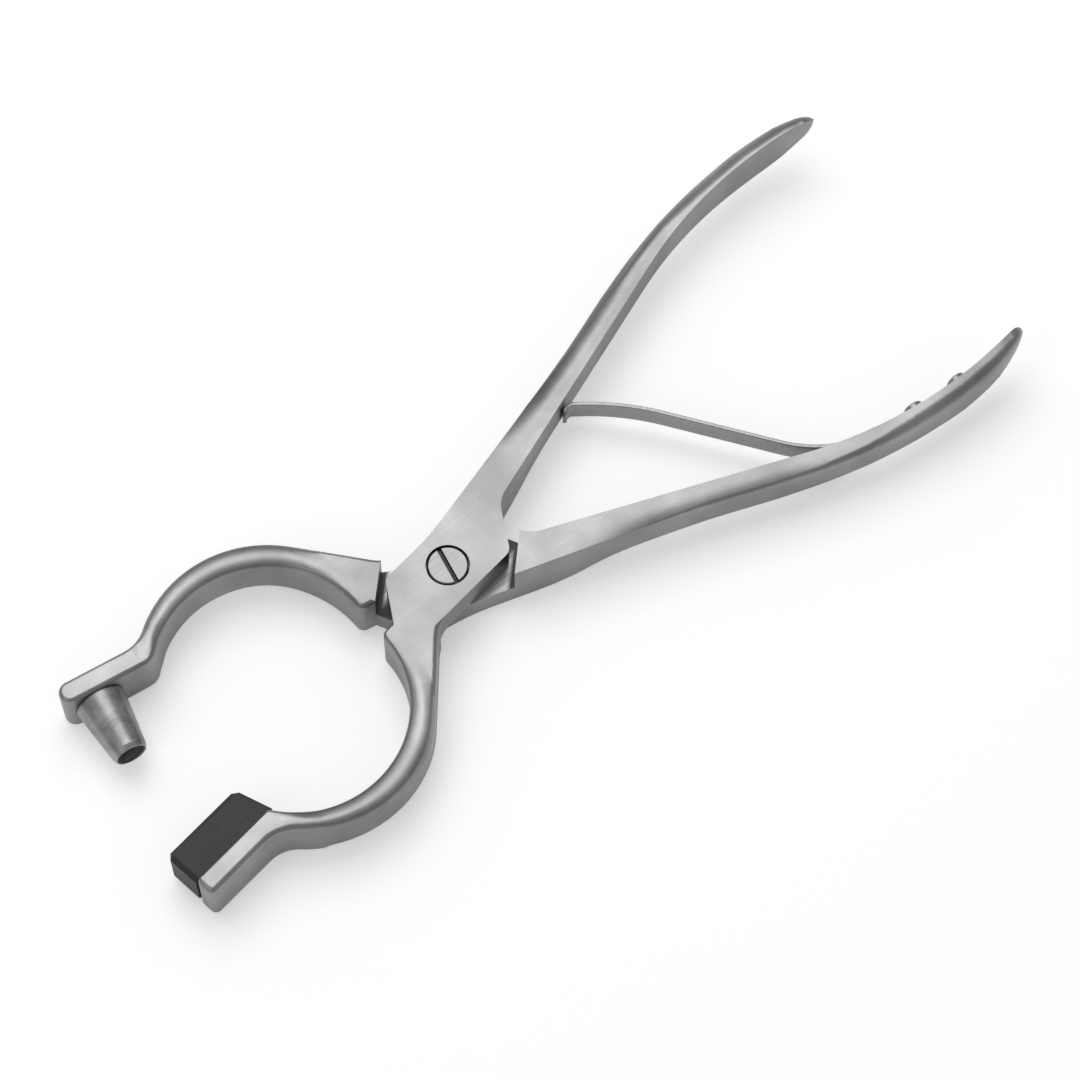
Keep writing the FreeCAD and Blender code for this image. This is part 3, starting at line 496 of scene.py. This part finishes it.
def smooth_lever(node, body, side, crown, grip):
    """A copy of a lever with a smooth grip, a rounded tip and a curved underside of the bow."""
    swing = side * grip.swing
    along = Vector((math.cos(swing), math.sin(swing), 0))
    tip_start = grip.reach - grip.tip_round
    stations = np.concatenate([
        np.arange(grip.start, tip_start, CUT_STEP),
        tip_start + grip.tip_round * np.sin(np.linspace(0, np.pi / 2, TIP_CUTS)),
    ])
    jaw = np.arange(JAW_CUTS[0], JAW_CUTS[1], CUT_STEP)
    mesh = cut_copy(node, along, np.concatenate([jaw, stations[:-1]]))
    points = np.empty(len(mesh.vertices) * 3)
    mesh.vertices.foreach_get("co", points)
    points = points.reshape(-1, 3)
    x = points[:, 0] * along.x + points[:, 1] * along.y
    y = (points[:, 1] * along.x - points[:, 0] * along.y) * side
    y, z = smooth_grip(x, y, points[:, 2], stations, crown, grip)
    y, z = y * side, curve_underside(x, z, grip)
    points = np.stack([x * along.x - y * along.y, x * along.y + y * along.x, z], axis=1)
    mesh.vertices.foreach_set("co", points.ravel())
    mesh.polygons.foreach_set("use_smooth", np.ones(len(mesh.polygons), bool))
    mesh.update()
    mesh.set_sharp_from_angle(angle=grip.crease)
    lever = bpy.data.objects.new(mesh.name, mesh)
    bpy.context.scene.collection.objects.link(lever)
    # Flat faces keep their own normals and the rounded edges beside them take up the turn
    flat = lever.modifiers.new("flat_faces", "WEIGHTED_NORMAL")
    flat.mode = "FACE_AREA"
    flat.weight = 100
    flat.keep_sharp = True
    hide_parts(node)
    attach(lever, body)
    return lever


class PLIERS_grip(bpy.types.PropertyGroup):
    """Measures of a lever: its grip and tip, its rounded edges and its lap."""

    start: bpy.props.FloatProperty(
        name="Start", description="Pivot to the start of the grip", default=60.0 * MM,
        subtype="DISTANCE",
    )
    reach: bpy.props.FloatProperty(
        name="Reach", description="Pivot to the tip", default=155.6 * MM, subtype="DISTANCE"
    )
    tip_round: bpy.props.FloatProperty(
        name="Tip round", description="Length of the rounded tip", default=3.0 * MM,
        subtype="DISTANCE",
    )
    blend: bpy.props.FloatProperty(
        name="Blend", description="Half length over which the outline is averaged",
        default=9.0 * MM, subtype="DISTANCE",
    )
    swing: bpy.props.FloatProperty(
        name="Swing", description="Turn of a lever at rest", default=math.radians(8.5),
        subtype="ANGLE",
    )
    anvil_crown: bpy.props.FloatProperty(
        name="Anvil crown", description="Above 1 it draws the crest to the palm edge", default=1.7
    )
    punch_crown: bpy.props.FloatProperty(
        name="Punch crown", description="Below 1 it draws the crest to the back", default=0.8
    )
    neck_width: bpy.props.FloatProperty(
        name="Neck width", description="Rounded strip along the back of the neck",
        default=4.8 * MM, subtype="DISTANCE",
    )
    anvil_neck: bpy.props.FloatProperty(
        name="Anvil neck", description="Fall of that strip on the anvil lever",
        default=1.9 * MM, subtype="DISTANCE",
    )
    punch_neck: bpy.props.FloatProperty(
        name="Punch neck", description="Fall of that strip on the punch lever",
        default=0.9 * MM, subtype="DISTANCE",
    )
    lap_angle: bpy.props.FloatProperty(
        name="Lap angle", description="Slant of the steps of the lap",
        default=math.radians(36.5), subtype="ANGLE",
    )
    lap_reach: bpy.props.FloatProperty(
        name="Lap reach", description="Pivot to the steps of the lap", default=16.3 * MM,
        subtype="DISTANCE",
    )
    lap_level: bpy.props.FloatProperty(
        name="Lap level", description="Floor of the lap above the underside", default=6.7 * MM,
        subtype="DISTANCE",
    )
    bow_floor: bpy.props.FloatProperty(
        name="Bow floor", description="Underside of the bow above that of the joint",
        default=3.2 * MM, subtype="DISTANCE",
    )
    edge_width: bpy.props.FloatProperty(
        name="Edge width", description="Rounded strip along either edge of the bow",
        default=3.4 * MM, subtype="DISTANCE",
    )
    edge_depth: bpy.props.FloatProperty(
        name="Edge depth", description="Fall of the rounded strip", default=0.95 * MM,
        subtype="DISTANCE",
    )
    crease: bpy.props.FloatProperty(
        name="Crease", description="Steeper edges stay sharp", default=math.radians(35),
        subtype="ANGLE",
    )


class PLIERS_finish(bpy.types.PropertyGroup):
    """Colours and roughness of the steel and the pad."""

    steel_dark: bpy.props.FloatProperty(
        name="Steel, dark", description="Grey of the duller parts of the steel", default=0.27
    )
    steel_light: bpy.props.FloatProperty(
        name="Steel, light", description="Grey of the rubbed parts of the steel", default=0.44
    )
    satin_roughness: bpy.props.FloatProperty(
        name="Satin roughness", description="Roughness of the brushed steel", default=0.34
    )
    pad_colour: bpy.props.FloatVectorProperty(
        name="Pad", description="Colour of the pad", subtype="COLOR", default=(0.016, 0.016, 0.017)
    )


class PLIERS_spring(bpy.types.PropertyGroup):
    """Run of the leaf spring from its tail on the grip to its curled end."""

    width: bpy.props.FloatProperty(
        name="Width", description="Width of the leaf", default=6.2 * MM, subtype="DISTANCE"
    )
    thickness: bpy.props.FloatProperty(
        name="Thickness", description="Thickness of the leaf", default=1.0 * MM, subtype="DISTANCE"
    )
    level: bpy.props.FloatProperty(
        name="Level", description="Middle of the leaf above the underside", default=9.8 * MM,
        subtype="DISTANCE",
    )
    sag: bpy.props.FloatProperty(
        name="Sag", description="Drop of the leaf behind its screws", default=2.4 * MM,
        subtype="DISTANCE",
    )
    tail: bpy.props.FloatProperty(
        name="Tail", description="Level stretch under the screws", default=21.0 * MM,
        subtype="DISTANCE",
    )
    bend: bpy.props.FloatProperty(
        name="Bend", description="Stretch over which the leaf drops", default=24.0 * MM,
        subtype="DISTANCE",
    )
    palm_centre: bpy.props.FloatVectorProperty(
        name="Palm centre", description="Centre of the palm arc, tool closed", size=2,
        default=(118.8 * MM, 93.3 * MM), subtype="XYZ",
    )
    straight: bpy.props.FloatProperty(
        name="Straight", description="Straight stretch between the bends", default=29.77 * MM,
        subtype="DISTANCE",
    )
    corner: bpy.props.FloatProperty(
        name="Corner", description="Radius of the long edges of the leaf", default=0.2 * MM,
        subtype="DISTANCE",
    )


# Run of the leaf: radius, heading at the end, and 1 for a bend towards the other handle or -1
# for one away from it. The straight stretch has no radius.
SPRING_BENDS = [
    (114.5 * MM, math.radians(5.0), 1),
    (32.0 * MM, math.radians(46.3), 1),
    (None, math.radians(46.3), 0),
    (68.0 * MM, math.radians(27.0), -1),
    (2.0 * MM, math.radians(-29.6), -1),
    (2.0 * MM, math.radians(-64.0), -1),
]
# Heading at the tail
SPRING_TAIL = math.radians(-11.2)
# Points on the straight stretch, fewest points on a bend, and their distance on a long one
STRAIGHT_POINTS = 40
BEND_POINTS = 8
BEND_STEP = 0.6 * MM


def spring_line(spring):
    """Middle line of the leaf and its left normals, as two arrays of points.

    The leaf is followed by its heading. On an arc the point is the arc's centre less or plus the
    radius along the left normal; on the straight it moves along the heading.
    """
    points = []
    normals = []

    def left(angle):
        return np.stack([np.sin(angle), -np.cos(angle)], axis=-1)

    heading = SPRING_TAIL
    here = -SPRING_BENDS[0][0] * left(np.array(heading))
    for radius, end, turn in SPRING_BENDS:
        if radius is None:
            share = np.linspace(0, 1, STRAIGHT_POINTS)[:, None]
            ahead = -np.array([math.cos(heading), math.sin(heading)])
            run = here + share * spring.straight * ahead
            side = np.repeat(left(np.array([heading])), len(share), axis=0)
        else:
            count = max(BEND_POINTS, int(abs(end - heading) * radius / BEND_STEP) + 2)
            angles = np.linspace(heading, end, count)
            centre = here + turn * radius * left(np.array(heading))
            side = left(angles)
            run = centre - turn * radius * side
        points.append(run[:-1])
        normals.append(side[:-1])
        here = run[-1]
        heading = end
    points.append(here[None])
    normals.append(left(np.array([heading])))
    return np.concatenate(points), np.concatenate(normals)


def strip_section(half_width, half_thick, corner, around=6):
    """Rounded oblong: four quarter circles of the corner radius about the four inner corners."""
    quarter = np.linspace(0, np.pi / 2, around)
    angles = np.concatenate([quarter + k * np.pi / 2 for k in range(4)])
    across = np.repeat([1, -1, -1, 1], around) * (half_thick - corner)
    along = np.repeat([1, 1, -1, -1], around) * (half_width - corner)
    return across + corner * np.cos(angles), along + corner * np.sin(angles)


class PLIERS_OT_levers(bpy.types.Operator):
    """Finishes the two forged levers"""

    bl_idname = "pliers.levers"
    bl_label = "Levers"

    def execute(self, context):
        look = context.scene.pliers_finish
        grip = context.scene.pliers_grip
        for name, body, side, crown, neck in (
            ("anvil", "anvil_side", 1, grip.anvil_crown, grip.anvil_neck),
            ("punch", "punch_side", -1, grip.punch_crown, grip.punch_neck),
        ):
            node = name + "_lever"
            lever = smooth_lever(node, body, side, crown, grip)
            lever.data.materials.append(satin_steel(
                "satin_steel_" + node, look, grip, side, neck, with_lap=node == "punch_lever"
            ))
        return {"FINISHED"}


class PLIERS_OT_pivot_screw(bpy.types.Operator):
    """Finishes the slotted pivot screw"""

    bl_idname = "pliers.pivot_screw"
    bl_label = "Pivot screw"

    def execute(self, context):
        look = context.scene.pliers_finish
        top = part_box("pivot_screw")[1][2]
        dress("pivot_screw", turned_steel(
            "brushed_screw_steel", look, turn=0.3, light=0.88, slot_level=top - 0.1 * MM
        ))
        return {"FINISHED"}


class PLIERS_OT_punch(bpy.types.Operator):
    """Finishes the hollow punch"""

    bl_idname = "pliers.punch"
    bl_label = "Punch"

    def execute(self, context):
        look = context.scene.pliers_finish
        grip = context.scene.pliers_grip
        dress("punch_tube", punch_steel("ground_punch_steel", look, grip))
        return {"FINISHED"}


class PLIERS_OT_pad(bpy.types.Operator):
    """Finishes the pad that the punch meets"""

    bl_idname = "pliers.pad"
    bl_label = "Pad"

    def execute(self, context):
        dress("anvil_pad", pad_finish("dark_pad_plastic", context.scene.pliers_finish))
        return {"FINISHED"}


class PLIERS_OT_return_spring(bpy.types.Operator):
    """Builds the leaf spring and finishes its screws"""

    bl_idname = "pliers.return_spring"
    bl_label = "Return spring"

    def execute(self, context):
        look = context.scene.pliers_finish
        spring = context.scene.pliers_spring
        swing = -context.scene.pliers_grip.swing
        line, side = spring_line(spring)
        across, along = strip_section(spring.width / 2, spring.thickness / 2, spring.corner)
        flat = line[:, None, :] + across[None, :, None] * side[:, None, :]
        # Mirrored about the closed tool's axis, then turned with the lever about the pivot
        x = spring.palm_centre[0] + flat[..., 0]
        y = spring.palm_centre[1] - flat[..., 1]
        turn_cos, turn_sin = math.cos(swing), math.sin(swing)
        # The leaf sags from its screws to the end of its first bend and runs level from there
        run = np.concatenate([[0], np.cumsum(np.hypot(*np.diff(line, axis=0).T))])
        sag = spring.sag * smooth_step(run, spring.tail, spring.bend)
        z = spring.level - sag[:, None] + along[None, :]
        rings = np.stack([x * turn_cos - y * turn_sin, x * turn_sin + y * turn_cos, z], axis=-1)
        leaf = tube_mesh("return_spring_leaf", rings)
        leaf.data.materials.append(turned_steel("rolled_spring_steel", look, turn=-0.5))
        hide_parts("return_spring")
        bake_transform(leaf)
        dress("spring_screws", turned_steel("spring_screw_steel", look, turn=0.4, light=0.9))
        return {"FINISHED"}


class PLIERS_stage(bpy.types.PropertyGroup):
    """Camera and light."""

    aim: bpy.props.FloatVectorProperty(
        name="Aim", description="Point at the middle of the picture",
        default=(21.53 * MM, -8.82 * MM, 14.5 * MM), subtype="XYZ",
    )
    distance: bpy.props.FloatProperty(
        name="Distance", description="Camera to the aim", default=847.5 * MM, subtype="DISTANCE"
    )
    heading: bpy.props.FloatProperty(
        name="Heading", description="Level direction of the view", default=math.radians(49.96),
        subtype="ANGLE",
    )
    elevation: bpy.props.FloatProperty(
        name="Elevation", description="Camera above the level", default=math.radians(64.672),
        subtype="ANGLE",
    )
    roll: bpy.props.FloatProperty(
        name="Roll", description="Turn of the picture", default=math.radians(0.911),
        subtype="ANGLE",
    )
    lens: bpy.props.FloatProperty(
        name="Lens", description="Focal length on a 36 mm sensor, in millimetres", default=116.67
    )


def area_lamp(name, place, aim, size, power):
    """A square soft lamp that faces a point."""
    lamp = bpy.data.lights.new(name, "AREA")
    lamp.shape = "SQUARE"
    lamp.size = size
    lamp.energy = power
    item = bpy.data.objects.new(name, lamp)
    bpy.context.scene.collection.objects.link(item)
    item.location = place
    item.rotation_euler = (Vector(aim) - Vector(place)).to_track_quat("-Z", "Y").to_euler()


def lay_floor():
    """A pale floor that shows the camera some of its own white, so that it stays nearly white."""
    finish = Finish("pale_floor")
    shade = finish.blend(
        finish.noise(finish.place, 3.0, detail=2.0), tone(FLOOR_GREYS[0]), tone(FLOOR_GREYS[1])
    )
    diffuse = finish.add("ShaderNodeBsdfDiffuse", None, {"Color": shade})
    glow = finish.add("ShaderNodeEmission", None, {"Color": (1, 1, 1, 1), "Strength": 1.0})
    dark = finish.add("ShaderNodeEmission", None, {"Strength": 0.0})
    path = finish.tree.nodes.new("ShaderNodeLightPath")
    seen = Value(finish, path.outputs["Is Camera Ray"])
    mirrored = Value(finish, path.outputs["Is Glossy Ray"])
    share = seen * GLOW_SEEN + mirrored * GLOW_MIRRORED
    lit = finish.add("ShaderNodeMixShader", None, {0: share, 1: dark, 2: glow})
    finish.close(finish.add("ShaderNodeAddShader", None, {0: diffuse, 1: lit}))
    mesh = bpy.data.meshes.new("floor")
    corners = [(-1, -1), (1, -1), (1, 1), (-1, 1)]
    mesh.from_pydata(
        [(FLOOR_REACH * x, FLOOR_REACH * y, 0) for x, y in corners], [], [(0, 1, 2, 3)]
    )
    mesh.materials.append(finish.material)
    floor = bpy.data.objects.new("floor", mesh)
    floor.location.z = -FLOOR_GAP
    bpy.context.scene.collection.objects.link(floor)


def light_room():
    """A white world: full strength for the camera, ROOM for everything that it lights."""
    world = bpy.data.worlds.new("studio")
    world.use_nodes = True
    tree = world.node_tree
    tree.nodes.clear()
    out = tree.nodes.new("ShaderNodeOutputWorld")
    rays = tree.nodes.new("ShaderNodeLightPath")
    mix = tree.nodes.new("ShaderNodeMixShader")
    tree.links.new(rays.outputs["Is Camera Ray"], mix.inputs[0])
    for place, strength in ((1, ROOM), (2, 1.0)):
        white = tree.nodes.new("ShaderNodeBackground")
        white.inputs["Color"].default_value = (1, 1, 1, 1)
        white.inputs["Strength"].default_value = strength
        tree.links.new(white.outputs[0], mix.inputs[place])
    tree.links.new(mix.outputs[0], out.inputs["Surface"])
    bpy.context.scene.world = world


def set_camera(stage, aim, away, right):
    """The camera of the photo, which looks down at the aim from the stage's elevation."""
    forward = away * math.cos(stage.elevation) - Vector((0, 0, math.sin(stage.elevation)))
    up = right.cross(forward)
    turn_cos, turn_sin = math.cos(stage.roll), math.sin(stage.roll)
    across = right * turn_cos + up * turn_sin
    upright = up * turn_cos - right * turn_sin
    camera = bpy.data.cameras.new("camera")
    camera.lens = stage.lens
    camera.sensor_width = 36.0
    camera.clip_start = 0.05
    camera.clip_end = 50.0
    item = bpy.data.objects.new("camera", camera)
    place = aim - forward * stage.distance
    item.matrix_world = Matrix.Translation(place) @ Matrix(
        (across, upright, -forward)
    ).transposed().to_4x4()
    bpy.context.scene.collection.objects.link(item)
    bpy.context.scene.camera = item


class PLIERS_OT_stage(bpy.types.Operator):
    """Lays the pale floor, hangs the soft lamps and sets up the camera"""

    bl_idname = "pliers.stage"
    bl_label = "Stage"

    def execute(self, context):
        stage = context.scene.pliers_stage
        lay_floor()
        light_room()
        aim = Vector(stage.aim)
        away = Vector((math.cos(stage.heading), math.sin(stage.heading), 0))
        right = Vector((math.sin(stage.heading), -math.cos(stage.heading), 0))
        for name, ahead, aside, above, size, power in LAMPS:
            place = aim + away * ahead + right * aside + Vector((0, 0, above))
            area_lamp(name, place, aim, size, power)
        set_camera(stage, aim, away, right)
        context.scene.view_settings.view_transform = "Standard"
        return {"FINISHED"}


OPERATORS = [
    PLIERS_OT_levers,
    PLIERS_OT_pivot_screw,
    PLIERS_OT_punch,
    PLIERS_OT_pad,
    PLIERS_OT_return_spring,
    PLIERS_OT_stage,
]


class PLIERS_PT_build(bpy.types.Panel):
    """Lists the steps that finish the pliers"""

    bl_idname = "PLIERS_PT_build"
    bl_label = "Nose ring pliers"
    bl_space_type = "VIEW_3D"
    bl_region_type = "UI"
    bl_category = "Pliers"

    def draw(self, context):
        for operator in OPERATORS:
            self.layout.operator(operator.bl_idname)


GROUPS = {
    "pliers_grip": PLIERS_grip,
    "pliers_finish": PLIERS_finish,
    "pliers_spring": PLIERS_spring,
    "pliers_stage": PLIERS_stage,
}


def register():
    for name, group in GROUPS.items():
        bpy.utils.register_class(group)
        setattr(bpy.types.Scene, name, bpy.props.PointerProperty(type=group))
    for item in OPERATORS + [PLIERS_PT_build]:
        bpy.utils.register_class(item)


def unregister():
    for item in [PLIERS_PT_build] + OPERATORS[::-1]:
        bpy.utils.unregister_class(item)
    for name, group in GROUPS.items():
        delattr(bpy.types.Scene, name)
        bpy.utils.unregister_class(group)


def main():
    register()
    bpy.ops.pliers.levers()
    bpy.ops.pliers.pivot_screw()
    bpy.ops.pliers.punch()
    bpy.ops.pliers.pad()
    bpy.ops.pliers.return_spring()
    bpy.ops.pliers.stage()


if __name__ == "__main__":
    main()
